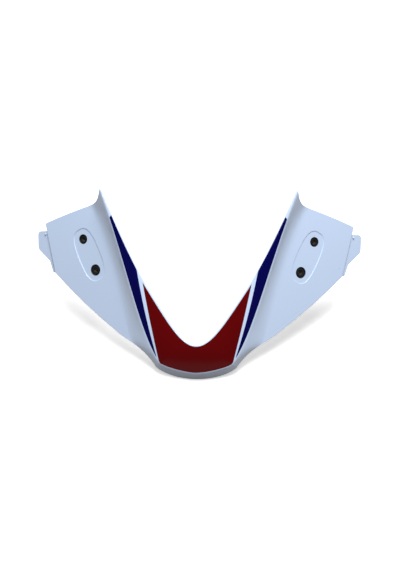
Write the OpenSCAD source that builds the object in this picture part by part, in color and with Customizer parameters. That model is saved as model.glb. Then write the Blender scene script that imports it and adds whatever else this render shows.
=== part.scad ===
// Front cowl panel of a sports motorcycle: a V shaped skin moulded in one piece,
// with laid-on colour films and rubber bushes for the mirror bolts.
// The panel is drawn flat as a face (x across, y up the face, z out of it)
// and then leaned back as it sits on the machine. Millimetres, +Z up.

/* [V edge] */
// Height of the bottom of the V above the chin line
root_up = 42.3; // [38:0.1:48]
// Reach of the round at the bottom of the V
root_round = 16.6; // [12:0.1:22]
// Half width of the V at its waist
waist_x = 62.5; // [58:0.5:66]
// Height of the waist of the V
waist_up = 113.5; // [108:0.5:120]
// Lean of the V edge at its waist, in degrees
waist_lean = 57.7; // [54:0.1:61]
// Half width of the V at the horn tips
horn_x = 123; // [118:0.5:128]
// Height of the horn tips up the face
horn_up = 236; // [230:0.5:244]

/* [Ridge] */
// Height of the ridge at the middle of the nose
chin_up = 6; // [4:0.5:9]
// Half width of the nose at its lower corners
nose_x = 45.8; // [42:0.1:49]
// Height of the lower corners of the nose
nose_up = 17.5; // [15:0.5:20]
// Width of the face between V edge and ridge at the horn tips
horn_w = 3.8; // [3.5:0.1:6]
// Direction of the ridge where it leaves the nose, in degrees
ridge_start = 53; // [49:0.1:56]
// Direction of the ridge at the horn tip, in degrees
ridge_end = 67.7; // [63:0.1:69]
// Rounding of the horn tips
horn_dome = 2.2; // [1:0.1:3]

/* [Lower and outer edge] */
// Drop of the lip below the ridge at the middle of the nose
lip_drop = 8.3; // [6:0.1:10]
// Half width of the lip below the corners of the nose
chin_x = 52.5; // [50:0.1:56]
// Height of the lip below the corners of the nose
chin_side_up = 14.5; // [12:0.1:16]
// Distance of the cheek from the middle
cheek_x = 107.6; // [103:0.1:112]
// Height of the cheek
cheek_up = 58.9; // [56:0.1:62]
// Distance of the heel of the wing from the middle
heel_x = 191; // [184:0.1:197]
// Height of the heel
heel_up = 130.8; // [126:0.1:136]
// Bow of the lower edge between cheek and heel
lower_bow = 1.9; // [0:0.1:4]
// Distance of the upper outer corner from the middle
outer_x = 206; // [200:0.5:212]
// Height of the upper outer corner
outer_up = 196.6; // [190:0.1:204]
// Dip of the top edge beside the horn
top_dip = 13; // [8:0.5:16]

/* [Depth of the form] */
// Lean of the face back from upright, in degrees
face_lean = 40; // [30:1:50]
// Fall of the wings away from the face, in degrees
wing_fall = 26.6; // [22:0.1:31]
// Rise of the wing plates towards the horns, in degrees
wing_rake = 5.7; // [4:0.1:8]
// Bow of the wing plates from bottom to top
wing_bow = 8; // [5:0.5:11]
// Level of the wing plates at the middle line
wing_level = 14.2; // [12:0.1:17]
// Depth of the lip under the nose
lip_depth = 14; // [11:0.5:17]
// Fall of the ridge from the nose to the horn tips
ridge_fall = 17; // [13:0.5:21]
// Slope of the face between ridge and V edge, in degrees
band_slope = 9.6; // [7:0.1:12]
// Crown of the face at the nose
band_crown = 1.6; // [0.5:0.1:3]
// Width of the hollow fillet beside the ridge
fillet_w = 16; // [12:0.5:22]
// Sharpness of the hollow fillet at the horn
fillet_power = 2.2; // [1.6:0.1:2.8]

/* [Wall and return] */
// Wall thickness of the moulding
wall = 2.5; // [2:0.1:3]
// Depth of the return along the V edge
return_h = 8; // [5:0.5:10]

/* [Mirror seats] */
// Distance of the seat from the middle
seat_x = 142.3; // [139:0.1:146]
// Height of the seat
seat_up = 154.8; // [151:0.1:158]
// Distance between the two mirror holes
seat_pitch = 44.4; // [40:0.1:48]
// Lean of the line through the mirror holes, in degrees
seat_lean = 25; // [20:0.5:30]
// Half length of the oval recess
seat_l = 36; // [34:0.1:38]
// Half width of the oval recess
seat_w = 16.6; // [15:0.1:18]
// Depth of the oval recess
seat_depth = 0.8; // [0.4:0.1:1.2]
// Diameter of the upper mirror hole
upper_hole = 12; // [10:0.1:13]
// Diameter of the lower mirror hole
lower_hole = 14; // [12:0.1:15]
// Wall round the bushes
boss_wall = 2.5; // [2:0.1:3]
// Length of the bosses behind the skin
boss_h = 15.5; // [10:0.5:18]
// Thickness of the rib between the bosses
rib_t = 2; // [1.5:0.1:3]

/* [Bushes] */
// Bore for the mirror bolt
bolt_bore = 6.2; // [5:0.1:6.8]
// Clearance between bush and hole
bush_fit = 0.1; // [0.05:0.05:0.2]
// Width of the collar behind the boss
collar_w = 2; // [1:0.1:3]
// Thickness of the collar
collar_t = 1.6; // [1.2:0.1:2.5]
// Depth of the bush below the recess
bush_sink = 0.5; // [0.2:0.1:1]

/* [Side tabs] */
// Height of the lower end of the tab above the heel
tab_foot = 0.2; // [0:0.1:3]
// Width of the narrow foot of the tab
tab_foot_w = 5; // [3:0.5:6]
// Corner radius of the foot
tab_foot_r = 1; // [0.5:0.1:2]
// Height at which the tab widens
tab_waist = 15.5; // [12:0.5:18]
// Height at which the tab is full width
tab_shoulder = 31.5; // [28:0.5:34]
// Height of the top of the tab
tab_top = 56; // [52:0.5:60]
// Width of the tab beyond the edge of the wing
tab_w = 21.8; // [18:0.1:24]
// Corner radius of the tab
tab_r = 5; // [3:0.5:7]
// Set-back of the tab behind the skin
tab_joggle = 2; // [1.5:0.1:2.2]
// Overlap of the tab behind the wing
tab_lap = 7; // [5:0.5:9]
// Trim of the edge of the wing where the side panel lies against it
tab_trim = 0.15; // [0.1:0.05:0.3]
// Draft of the trimmed edge, in degrees
tab_draft = 2; // [1:0.5:4]
// Diameter of the pip on the tab
pip_d = 2.6; // [2:0.1:3.5]
// Height of the pip
pip_h = 1.4; // [1:0.1:2]

/* [Nose screws] */
// Distance between the screw posts
post_pitch = 56; // [50:1:62]
// Height of the posts up the face
post_up = 30; // [27:0.5:33]
// Outer diameter of the posts
post_d = 9; // [8:0.5:10]
// Bore of the posts
post_bore = 4; // [3:0.1:5]
// Depth of the bore
post_bore_h = 12; // [8:0.5:13]
// Depth of the post ends behind the chin
post_back = 15; // [13:0.5:19]

/* [Colour films] */
// Thickness of the films
film_t = 0.2; // [0.1:0.05:0.3]
// White border along the V edge beside the red field
film_in = 2; // [1.6:0.1:3]
// White border along the V edge beside the blue stripes
blue_in = 0.8; // [0.6:0.1:2]
// White border along the ridge
film_out = 1.5; // [0.8:0.1:3]
// Half width at the top of the red field
red_top_x = 68.8; // [66:0.1:71]
// Height of the top of the red field
red_top_up = 121; // [118:0.5:124]
// Distance of the red corner inside the nose corner
red_foot_in = 0.2; // [0:0.1:2]
// Bow of the outer edge of the red field
red_bow = 0.6; // [0:0.1:2]
// Half width at the inner corner of the blue stripes
blue_x = 77; // [74:0.1:80]
// Height of the inner corner of the blue stripes
blue_up = 139.5; // [136:0.5:143]
// Offset of the foot of the blue stripes from the nose corner
blue_foot = 2.4; // [1:0.1:4]
// Height of the foot of the blue stripes above the nose corner
blue_foot_up = 4.4; // [3:0.1:6]
// Bow of the inner edge of the blue stripes
blue_bow = 1.9; // [0:0.1:3]
// Height of the upper points of the blue stripes
blue_top_up = 200; // [194:0.5:204]

/* [Hidden] */

white = [0.86, 0.89, 0.95];
red = [0.52, 0.02, 0.05];
blue = [0.05, 0.04, 0.38];
rubber = [0.08, 0.08, 0.08];

// Stations along one half of the panel: middle, nose corner, cheek, waist, heel, horn
nose_n = 8;
cheek_n = 15;
waist_n = 21;
heel_n = 28;
half_n = 38;
// How far each edge has run at those stations, in spans of its curve
ridge_run = [[0, 0], [nose_n, 1], [cheek_n, 1.3], [waist_n, 1.47], [heel_n, 1.66], [half_n, 2]];
v_run = [[0, 0], [nose_n, 0.25], [cheek_n, 0.68], [waist_n, 1], [heel_n, 1.39], [half_n, 2]];
outer_run = [[0, 0], [nose_n, 1], [cheek_n, 2], [waist_n, 2.45], [heel_n, 3], [half_n, 4]];

function polar(r, a) = [r * cos(a), r * sin(a)];
function mix(a, b, t) = a + (b - a) * t;
function clamp(a, lo, hi) = min(max(a, lo), hi);
function ease(t) = let (c = clamp(t, 0, 1)) c * c * (3 - 2 * c);
function unit(a) = a / norm(a);
function bezier(p, t) =
    p[0] * pow(1 - t, 3) + p[1] * 3 * t * pow(1 - t, 2)
    + p[2] * 3 * pow(t, 2) * (1 - t) + p[3] * pow(t, 3);
// A chain of curves, the run counted in spans
function chain(spans, run) =
    let (k = min(floor(run), len(spans) - 1))
    bezier(spans[k], run - k);
// A straight or slightly bowed span, bow positive to the right of its direction
function bowed(a, b, bow) =
    let (d = unit(b - a), side = [d[1], -d[0]] * bow * 4 / 3)
    [a, mix(a, b, 1 / 3) + side, mix(a, b, 2 / 3) + side, b];

root_p = [0, root_up];
waist_p = [waist_x, waist_up];
horn_p = [horn_x, horn_up];
tip_p = [horn_x + horn_w, horn_up];
nose_p = [nose_x, nose_up];
chin_side_p = [chin_x, chin_side_up];
cheek_p = [cheek_x, cheek_up];
heel_p = [heel_x, heel_up];
outer_p = [outer_x, outer_up];
below_waist = 0.79 * norm(waist_p - root_p) * 0.75;
above_waist = 0.29 * norm(horn_p - waist_p);

v_edge = [
    [root_p, root_p + [root_round, 0], waist_p - polar(below_waist, waist_lean), waist_p],
    [waist_p, waist_p + polar(above_waist, waist_lean),
     horn_p - polar(above_waist, waist_lean + 9.8), horn_p]];
ridge = [
    [[0, chin_up], [nose_x * 0.28, chin_up], nose_p - polar(nose_x * 0.23, 32), nose_p],
    [nose_p, nose_p + polar(0.2 * norm(tip_p - nose_p), ridge_start),
     tip_p - polar(0.37 * norm(tip_p - nose_p), ridge_end), tip_p]];
outer = [
    [[0, chin_up - lip_drop], [chin_x * 0.64, chin_up - lip_drop],
     chin_side_p - [0.2, 2.7], chin_side_p],
    [chin_side_p, mix(chin_side_p, cheek_p, 0.4) + [-3.2, 8.8],
     mix(chin_side_p, cheek_p, 0.7) + [-4.7, -4.2], cheek_p],
    bowed(cheek_p, heel_p, lower_bow),
    bowed(heel_p, outer_p, 0)];

// Depth of the wing plates and of the lip, before the hollow beside the ridge
function wing_z(p) =
    wing_level - tan(wing_fall) * p[0] + tan(wing_rake) * p[1]
    - wing_bow * pow(p[1] / horn_up, 2);
function floor_z(p) =
    let (a = wing_z(p), b = -lip_depth)
    (a + b - sqrt(pow(a - b, 2) + 16)) / 2;
function ridge_z(x) = -ridge_fall * pow(abs(x) / (horn_x + horn_w), 1.6);

// One section of the panel at station i of the half, from the return to the outer edge
wall_steps = [0.16, 0.34, 0.54, 0.76, 1];
plate_n = 7;
shade = 0.3;
function across(a, b, c, d) =
    let (u = b - a, v = d - c, w = c - a, k = u[0] * v[1] - u[1] * v[0])
    (w[0] * v[1] - w[1] * v[0]) / k;
// Where a slightly bowed line on the face crosses the section from a to b
function stripe(a, b, top, foot, bow) =
    let (s = across(a, b, top, foot),
         t = clamp((mix(a, b, s)[1] - foot[1]) / (top[1] - foot[1]), 0, 1))
    s + bow * 4 * t * (1 - t) / norm(b - a);
function section(i) =
    let (
        e = chain(v_edge, lookup(i, v_run)),
        r = chain(ridge, lookup(i, ridge_run)),
        o = chain(outer, lookup(i, outer_run)),
        w = norm(r - e),
        reach = norm(o - r),
        rz = ridge_z(r[0]),
        ez = rz + w * tan(band_slope),
        crown = band_crown * w / (root_up - chin_up),
        late = pow(max(0, (i - heel_n) / (half_n - heel_n)), 3),
        up = unit(tip_p - nose_p),
        border = mix(film_in, blue_in, ease((e[1] - red_top_up) / (blue_up - red_top_up))),
        lo = min(border / w, 0.34),
        hi = max(1 - film_out / w, 0.6),
        nip = min(shade / w, 0.05),
        red_foot = nose_p + [-red_foot_in, red_foot_in],
        blue_foot_p = nose_p + [blue_foot, blue_foot_up],
        s_red = clamp(stripe(e, r, [red_top_x, red_top_up], red_foot, red_bow),
                      lo + nip, hi - 2 * nip),
        s_blue = clamp(stripe(e, r, [blue_x, blue_up], blue_foot_p, blue_bow),
                       lo + 2 * nip, hi - nip),
        face = [0, lo, mix(lo, s_red, 0.25), mix(lo, s_red, 0.5), mix(lo, s_red, 0.75),
                s_red, s_blue, mix(s_blue, hi, 1 / 3), mix(s_blue, hi, 2 / 3), hi, 1],
        soft = ease((i - nose_n) / (cheek_n - nose_n)),
        fall_w = mix(reach, min(fillet_w, reach), soft),
        power = mix(1, fillet_power, ease((i - nose_n) / (half_n - nose_n) * 1.6)),
        step_w = min(fillet_w, 0.6 * reach),
        drop = rz - floor_z(r),
        runs = concat([for (q = wall_steps) q * step_w],
                      [for (k = [1:plate_n]) mix(step_w, reach, k / plate_n)]),
        dip = late * top_dip)
    concat(
        [for (s = face)
            let (p = mix(e, r, s) + up * horn_dome * 4 * s * (1 - s) * late)
            [p[0], p[1], mix(ez, rz, s) + crown * 4 * s * (1 - s)]],
        [for (t = runs)
            let (s = t / reach,
                 bend = dip * pow(1 - s, 1.3) * (1 - exp(-s / 0.04)),
                 p = mix(r, o, s) - [0, bend],
                 left = max(0, 1 - t / fall_w))
            [p[0], p[1], floor_z(p) + drop * pow(left, power)]]);

function flip(p) = [-p[0], p[1], p[2]];
half_skin = [for (i = [0:half_n]) section(i)];
skin = concat([for (i = [half_n:-1:1]) [for (p = half_skin[i]) flip(p)]], half_skin);
rows = len(skin) - 1;
cols = len(skin[0]) - 1;
ridge_j = 10;

// Directions on the skin: one across the section on either side of a point
function along(i, j) = skin[min(i + 1, rows)][j] - skin[max(i - 1, 0)][j];
function normal_at(i, j, a, b) = unit(cross(skin[i][b] - skin[i][a], along(i, j)));
function face_normal(i) = normal_at(i, 5, 0, ridge_j);
function wall_normal(i, j) = normal_at(i, j, max(j - 1, ridge_j), min(j + 1, cols));

// Thickness and return, with a mitred corner at the ridge and at the V edge.
// The return grows thinner where the face narrows to the horn tip.
function return_wall(w) = min(wall, w * 0.45);
function inner_row(i) =
    let (
        n = face_normal(i),
        e = skin[i][0],
        r = skin[i][ridge_j],
        w = norm(r - e),
        t = unit(r - e),
        nw = normal_at(i, ridge_j, ridge_j, ridge_j + 1),
        turn = acos(clamp(n * nw, -1, 1)),
        mitre = wall * tan(turn / 2),
        start = return_wall(w))
    concat(
        [for (j = [0:ridge_j])
            let (p = skin[i][j], a = (p - e) * t)
            p + t * (mix(start, w - mitre, a / w) - a) - n * wall],
        [for (j = [ridge_j + 1:cols]) skin[i][j] - wall_normal(i, j) * wall]);
under = [for (i = [0:rows]) inner_row(i)];

return_draft = tan(band_slope);
function return_at(i) =
    let (w = norm(skin[i][ridge_j] - skin[i][0]))
    clamp(return_h * (w - horn_w) / (2 * return_h) + wall + 0.5, wall + 0.5, return_h);
function return_dir(i) =
    let (t = unit(skin[i][ridge_j] - skin[i][0]))
    unit(t * return_draft - face_normal(i));
outside = [for (i = [0:rows]) concat([skin[i][0] + return_dir(i) * return_at(i)], skin[i])];
inside = [for (i = [0:rows])
    let (a = skin[i][ridge_j] - skin[i][0], start = return_wall(norm(a)))
    concat([skin[i][0] + return_dir(i) * return_at(i) + unit(a) * start], under[i])];

// Outward direction used to lay the films on
function lay_normal(i, j) = normal_at(i, j, max(j - 1, 0), min(j + 1, ridge_j));

// A closed solid between an upper and a lower grid of points
module sheet_solid(top, bottom, first_row) {
    nu = len(top) - 1;
    nv = len(top[0]) - 1;
    n = (nu + 1) * (nv + 1);
    function at(i, j) = i * (nv + 1) + j;
    function quad(a, b, c, d, left) = left ? [[a, b, d], [b, c, d]] : [[a, b, c], [a, c, d]];
    function left_half(i) = first_row + i < half_n;
    polyhedron(
        concat([for (row = top) each row], [for (row = bottom) each row]),
        concat(
            [for (i = [0:nu - 1]) for (j = [0:nv - 1])
                each quad(at(i, j), at(i + 1, j), at(i + 1, j + 1), at(i, j + 1),
                          left_half(i))],
            [for (i = [0:nu - 1]) for (j = [0:nv - 1])
                each [for (f = quad(at(i, j), at(i + 1, j), at(i + 1, j + 1), at(i, j + 1),
                                    left_half(i))) [n + f[2], n + f[1], n + f[0]]]],
            [for (i = [0:nu - 1]) each quad(at(i, 0), n + at(i, 0), n + at(i + 1, 0),
                                            at(i + 1, 0), false)],
            [for (i = [0:nu - 1]) each quad(at(i, nv), at(i + 1, nv), n + at(i + 1, nv),
                                            n + at(i, nv), false)],
            [for (j = [0:nv - 1]) each quad(at(0, j), at(0, j + 1), n + at(0, j + 1),
                                            n + at(0, j), false)],
            [for (j = [0:nv - 1]) each quad(at(nu, j), n + at(nu, j), n + at(nu, j + 1),
                                            at(nu, j + 1), false)]),
        convexity = 8);
}

// Frames: the leaned face, and the plane of a wing at its mirror seat
tilt = 90 - face_lean;
seat_z = floor_z([seat_x, seat_up]);
wing_slope = tan(wing_rake) - 2 * wing_bow * seat_up / pow(horn_up, 2);
wing_turn = atan(wing_slope * cos(wing_fall));
hole_up = seat_pitch / 2;
origin_y = post_up * sin(face_lean) + post_back * cos(face_lean);
origin_z = post_up * cos(face_lean) - post_back * sin(face_lean);

module leaned() {
    translate([0, -origin_y, -origin_z]) rotate([tilt, 0, 0]) children();
}

module on_seat() {
    translate([seat_x, seat_up, seat_z]) rotate([0, wing_fall, 0]) rotate([wing_turn, 0, 0])
        rotate([0, 0, -seat_lean]) children();
}

heel_z = wing_z(heel_p);
module on_tab() {
    translate([heel_x, heel_up, heel_z]) rotate([0, wing_fall, 0])
        rotate([wing_turn, 0, 0]) children();
}

// A point of the face seen in the frame of the tab
function tab_local(p) =
    let (q = p - [heel_x, heel_up, heel_z],
         x = q[0] * cos(wing_fall) - q[2] * sin(wing_fall),
         z = q[0] * sin(wing_fall) + q[2] * cos(wing_fall))
    [x, q[1] * cos(wing_turn) + z * sin(wing_turn), z * cos(wing_turn) - q[1] * sin(wing_turn)];

module both_sides() {
    children();
    mirror([1, 0, 0]) children();
}

module seat_outline() {
    polygon([for (k = [0:47])
        let (c = cos(k * 7.5), s = sin(k * 7.5))
        [seat_w * sign(c) * pow(abs(c), 0.72), seat_l * sign(s) * pow(abs(s), 0.72)]]);
}

// Boss behind the skin for one mirror bush
module seat_boss(up, hole) {
    translate([0, up, -wall - boss_h])
        cylinder(d = hole + 2 * boss_wall, h = boss_h + wall / 2, $fn = 64);
}

module seat_hole(up, hole) {
    translate([0, up, -wall - boss_h - 1])
        cylinder(d = hole, h = boss_h + wall + 4, $fn = 64);
}

// Side tab, set back behind the outer edge of the wing
tab_edge = tab_local([outer_x, outer_up, floor_z(outer_p)]);
tab_run = tab_edge[0] / tab_edge[1];
tab_full = tab_w + tab_run * tab_shoulder;

module tab() {
    translate([0, 0, -tab_joggle - wall])
        linear_extrude(wall) polygon(concat(
            [[tab_run * tab_foot - tab_lap, tab_foot],
             [tab_run * tab_foot + tab_foot_w - tab_foot_r, tab_foot],
             [tab_run * tab_foot + tab_foot_w, tab_foot + tab_foot_r],
             [tab_run * tab_waist + tab_foot_w * 1.3, tab_waist],
             [tab_full - 1, tab_shoulder],
             [tab_full, tab_shoulder + tab_r]],
            [for (a = [0:15:90])
                [tab_full - tab_r + tab_r * cos(a), tab_top - tab_r + tab_r * sin(a)]],
            [[tab_run * tab_top - tab_lap, tab_top]]));
    translate([tab_run * tab_top + pip_d, tab_top - 1.6 * pip_d, -tab_joggle - 0.5])
        cylinder(d = pip_d, h = pip_h + 0.5, $fn = 32);
}

// What is trimmed from the edge of the wing, so that nothing leans over the tab
module tab_clearance() {
    low = tab_foot - 1;
    turn = atan(tab_run);
    translate([0, 0, -tab_joggle]) rotate([0, 0, -turn]) rotate([0, -tab_draft, 0])
        translate([-tab_trim, low, 0])
            cube([tab_w, (tab_top + 1 - low) / cos(turn), tab_joggle + wall]);
}

// Post for a self-tapping screw, from its open end up to the middle of the nose wall
module post() {
    first = half_n;
    last = half_n + cheek_n;
    core = [for (i = [first:last]) [for (j = [1:ridge_j]) skin[i][j] - [0, 0, wall / 2]]];
    low = [for (row = core) [for (p = row) [p[0], p[1], -2 * post_back]]];
    intersection() {
        translate([post_pitch / 2, post_up, -post_back])
            cylinder(d = post_d, h = 3 * post_back, $fn = 48);
        sheet_solid(core, low, first);
    }
}

module post_hole() {
    translate([post_pitch / 2, post_up, -post_back - 1])
        cylinder(d = post_bore, h = post_bore_h + 1, $fn = 48);
}

module shell() {
    color(white) difference() {
        union() {
            difference() {
                leaned() sheet_solid(outside, inside, 0);
                leaned() both_sides() on_tab() tab_clearance();
            }
            leaned() both_sides() {
                on_seat() {
                    seat_boss(hole_up, upper_hole);
                    seat_boss(-hole_up, lower_hole);
                    translate([-rib_t / 2, -hole_up, -wall - boss_h + 2])
                        cube([rib_t, seat_pitch, boss_h]);
                }
                on_tab() tab();
                post();
            }
        }
        leaned() both_sides() on_seat() {
            translate([0, 0, -seat_depth]) linear_extrude(5) seat_outline();
            seat_hole(hole_up, upper_hole);
            seat_hole(-hole_up, lower_hole);
        }
        leaned() both_sides() post_hole();
    }
}

module film(first, last, j0, j1, tint) {
    base = [for (i = [first:last]) [for (j = [j0:j1]) skin[i][j]]];
    face = [for (i = [first:last]) [for (j = [j0:j1]) skin[i][j] + lay_normal(i, j) * film_t]];
    color(tint) leaned() sheet_solid(face, base, first);
}

// Columns of the section at the film edges
red_j0 = 1;
red_j1 = 5;
blue_j0 = 6;
blue_j1 = 9;
// Stations where the films end
red_last = max([for (i = [0:half_n]) if (half_skin[i][red_j1][1] < red_top_up) i]) + 1;
blue_first = min([for (i = [0:half_n]) if (half_skin[i][blue_j1][1] > nose_up + blue_foot_up) i]);
blue_last = max([for (i = [0:half_n]) if (half_skin[i][blue_j0][1] < blue_top_up) i]);

module nose_film_red() {
    film(half_n - red_last, half_n + red_last, red_j0, red_j1, red);
}

module film_blue_right() {
    film(half_n + blue_first, half_n + blue_last, blue_j0, blue_j1, blue);
}

module film_blue_left() {
    film(half_n - blue_last, half_n - blue_first, blue_j0, blue_j1, blue);
}

module bush(up, hole) {
    back = -wall - boss_h;
    color(rubber) leaned() on_seat() translate([0, up, 0]) difference() {
        union() {
            translate([0, 0, back - collar_t / 2])
                cylinder(d = hole - 2 * bush_fit,
                         h = boss_h + wall + collar_t / 2 - seat_depth - bush_sink, $fn = 64);
            translate([0, 0, back - collar_t])
                cylinder(d = hole + 2 * collar_w, h = collar_t, $fn = 64);
        }
        translate([0, 0, back - collar_t - 1])
            cylinder(d = bolt_bore, h = boss_h + wall + collar_t + 4, $fn = 48);
    }
}

module bush_upper_right() { bush(hole_up, upper_hole); }
module bush_lower_right() { bush(-hole_up, lower_hole); }
module bush_upper_left() { mirror([1, 0, 0]) bush(hole_up, upper_hole); }
module bush_lower_left() { mirror([1, 0, 0]) bush(-hole_up, lower_hole); }

shell();
nose_film_red();
film_blue_left();
film_blue_right();
bush_upper_left();
bush_lower_left();
bush_upper_right();
bush_lower_right();
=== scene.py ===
import math

import bpy
import numpy as np
from mathutils import Matrix, Vector


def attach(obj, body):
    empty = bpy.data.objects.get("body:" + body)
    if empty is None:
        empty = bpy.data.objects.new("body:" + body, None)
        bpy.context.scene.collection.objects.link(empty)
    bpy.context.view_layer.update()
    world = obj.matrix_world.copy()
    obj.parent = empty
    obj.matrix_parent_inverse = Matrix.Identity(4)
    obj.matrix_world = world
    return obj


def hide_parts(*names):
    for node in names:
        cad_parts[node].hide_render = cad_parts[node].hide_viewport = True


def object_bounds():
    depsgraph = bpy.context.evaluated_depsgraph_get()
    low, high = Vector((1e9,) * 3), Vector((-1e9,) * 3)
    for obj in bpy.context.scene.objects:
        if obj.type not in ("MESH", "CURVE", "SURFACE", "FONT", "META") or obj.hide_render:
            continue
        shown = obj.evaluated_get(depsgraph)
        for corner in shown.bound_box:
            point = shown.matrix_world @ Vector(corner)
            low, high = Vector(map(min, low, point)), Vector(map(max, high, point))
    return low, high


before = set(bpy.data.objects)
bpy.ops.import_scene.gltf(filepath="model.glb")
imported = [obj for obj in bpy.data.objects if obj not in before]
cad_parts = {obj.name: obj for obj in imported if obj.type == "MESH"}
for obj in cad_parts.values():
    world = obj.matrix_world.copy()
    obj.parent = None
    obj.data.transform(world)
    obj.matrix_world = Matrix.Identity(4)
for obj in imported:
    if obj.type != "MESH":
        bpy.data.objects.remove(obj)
cad_box = [list(corner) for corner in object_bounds()]

# The panel leans back as it sits on the machine. Everything on it is set out on its flat face,
# in millimetres: x across, y up the face from the chin line, z out of it. The frame's origin
# lies midway between the open ends of the two screw posts behind the nose.
FACE_LEAN = 40
POST_UP = 30
POST_BACK = 15
lean = math.radians(FACE_LEAN)
leaning = Matrix.Rotation(math.radians(90) - lean, 4, "X")
origin_y = POST_UP * math.sin(lean) + POST_BACK * math.cos(lean)
origin_z = POST_UP * math.cos(lean) - POST_BACK * math.sin(lean)
face_frame = Matrix.Scale(0.001, 4) @ Matrix.Translation((0, -origin_y, -origin_z)) @ leaning

# The camera looks all but square at the face from a little over a metre, as in the photograph.
# Its place, lens, shift and slight turns come from fitting the outline of the panel. The lens
# shows 1.248 mm to a pixel of the photograph at 1.1 m.
CAMERA_PLACE = (25.3, 115, 1099.7)
CAMERA_TURN = (0.11, 1.32, 0.77)
CAMERA_SHIFT = (0.00545, -0.00027)
LENS_REACH, PIXEL_MM = 1100, 1.248
PHOTO_H, SENSOR_MM = 570, 36
CLIP_NEAR, CLIP_FAR = 0.05, 30
bpy.ops.object.camera_add()
camera = bpy.context.object
camera.data.sensor_width = SENSOR_MM
camera.data.lens = LENS_REACH / PIXEL_MM / PHOTO_H * SENSOR_MM
camera.data.shift_x, camera.data.shift_y = CAMERA_SHIFT
camera.data.clip_start, camera.data.clip_end = CLIP_NEAR, CLIP_FAR
pitch, yaw, roll = (math.radians(turn) for turn in CAMERA_TURN)
camera.matrix_world = (Matrix.Translation(face_frame @ Vector(CAMERA_PLACE)) @ leaning
                       @ Matrix.Rotation(yaw, 4, "Y") @ Matrix.Rotation(pitch, 4, "X")
                       @ Matrix.Rotation(roll, 4, "Z"))
bpy.context.scene.camera = camera
bpy.context.scene.view_settings.view_transform = "Standard"

# Shell: one thin moulding of ABS, gloss white outside and bare inside, and bare dark grey on its
# rounded outer rim and top edges, where that also paints their shade. Its skin is lofted
# between three edges: the V edge with its return, the ridge round the nose and up to the
# horns, and the lower and outer edge. Each half is set out from the middle and mirrored.
ROOT_UP, ROOT_ROUND = 42.3, 16.6
WAIST, WAIST_LEAN = np.array((62.5, 113.5)), 57.7
HORN, HORN_W, HORN_DOME, HORN_STEEPER = np.array((123, 236)), 3.8, 2.2, 9.8
CHIN_UP, LIP_DROP, LIP_DEPTH, LIP_BLEND = 6, 8.3, 14, 4
NOSE, NOSE_TURN = np.array((45.8, 17.5)), 32
RIDGE_START, RIDGE_END, RIDGE_FALL, RIDGE_POWER = 53, 67.7, 17, 1.6
CHIN_SIDE, CHIN_RISE = np.array((52.5, 14.5)), np.array((0.2, 2.7))
CHEEK = np.array((107.6, 58.9))
HEEL = np.array((191, 130.8))
OUTER = np.array((206, 196.6))
LOWER_BOW, TOP_DIP, DIP_POWER, DIP_START = 1.9, 13, 1.3, 0.04
WING_FALL, WING_RAKE, WING_BOW, WING_LEVEL = 26.6, 5.7, 8, 14.2
BAND_SLOPE, BAND_CROWN = 9.6, 1.6
WALL, RETURN_H, RETURN_SPARE, FOOT_SHARE = 2.5, 8, 0.5, 0.45
RIDGE_SOFT, EDGE_SOFT, END_SOFT, FOOT_SOFT = 1.3, 0.8, 0.7, 0.6

# The hollow fillet beside the ridge. It runs out a little softer here than in the solid, by
# less than half a millimetre.
FILLET_W, FILLET_POWER, FILLET_SHARE, FILLET_RUN = 20, 2.9, 0.6, 1.6

# How far the handles of the edges' curves reach, as shares of what they shape, and how far
# the two handles below the cheek stand off their line.
BELOW_WAIST, ABOVE_WAIST = 0.79 * 0.75, 0.29
CHIN_REACH, NOSE_REACH, RIDGE_LOW, RIDGE_HIGH, LIP_REACH = 0.28, 0.23, 0.2, 0.37, 0.64
CHEEK_HANDLES = ((0.4, (-3.2, 8.8)), (0.7, (-4.7, -4.2)))

# Stations are counted from the middle outward. A run tells how many spans of its curve an
# edge has passed at each named station. The rows lie across the face and down the wall.
NOSE_N, CHEEK_N, WAIST_N, HEEL_N, HALF_N = 8, 15, 21, 28, 38
STATIONS = (0, NOSE_N, CHEEK_N, WAIST_N, HEEL_N, HALF_N)
RIDGE_RUN = (0, 1, 1.3, 1.47, 1.66, 2)
V_RUN = (0, 0.25, 0.68, 1, 1.39, 2)
OUTER_RUN = (0, 1, 2, 2.45, 3, 4)
FINE = 5
FACE_ROWS, WALL_ROWS, ROW_CROWD = 17, (13, 17), 1.4
INNER_FACE_ROWS, INNER_WALL_ROWS, INNER_START = 9, (6, 12), 3


def polar(reach, degrees):
    angle = math.radians(degrees)
    return np.array((reach * math.cos(angle), reach * math.sin(angle)))


def slope(degrees):
    return math.tan(math.radians(degrees))


def ease(t):
    c = np.clip(t, 0, 1)
    return c * c * (3 - 2 * c)


def unit(a):
    return a / np.linalg.norm(a, axis=-1, keepdims=True)


def chain(spans, run):
    # Points on a chain of Bezier spans, each found by how many spans lie before it
    out = np.zeros((len(run), 2))
    which = np.minimum(np.floor(run).astype(int), len(spans) - 1)
    for k, p in enumerate(spans):
        t = (run[which == k] - k)[:, None]
        out[which == k] = (p[0] * (1 - t) ** 3 + p[1] * 3 * t * (1 - t) ** 2
                           + p[2] * 3 * t ** 2 * (1 - t) + p[3] * t ** 3)
    return out


def bowed(a, b, bow):
    # A span from a to b that stands out by bow at its middle
    d = unit(b - a)
    side = np.array((d[1], -d[0])) * bow * 4 / 3
    return [a, a + (b - a) / 3 + side, a + (b - a) * 2 / 3 + side, b]


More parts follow.
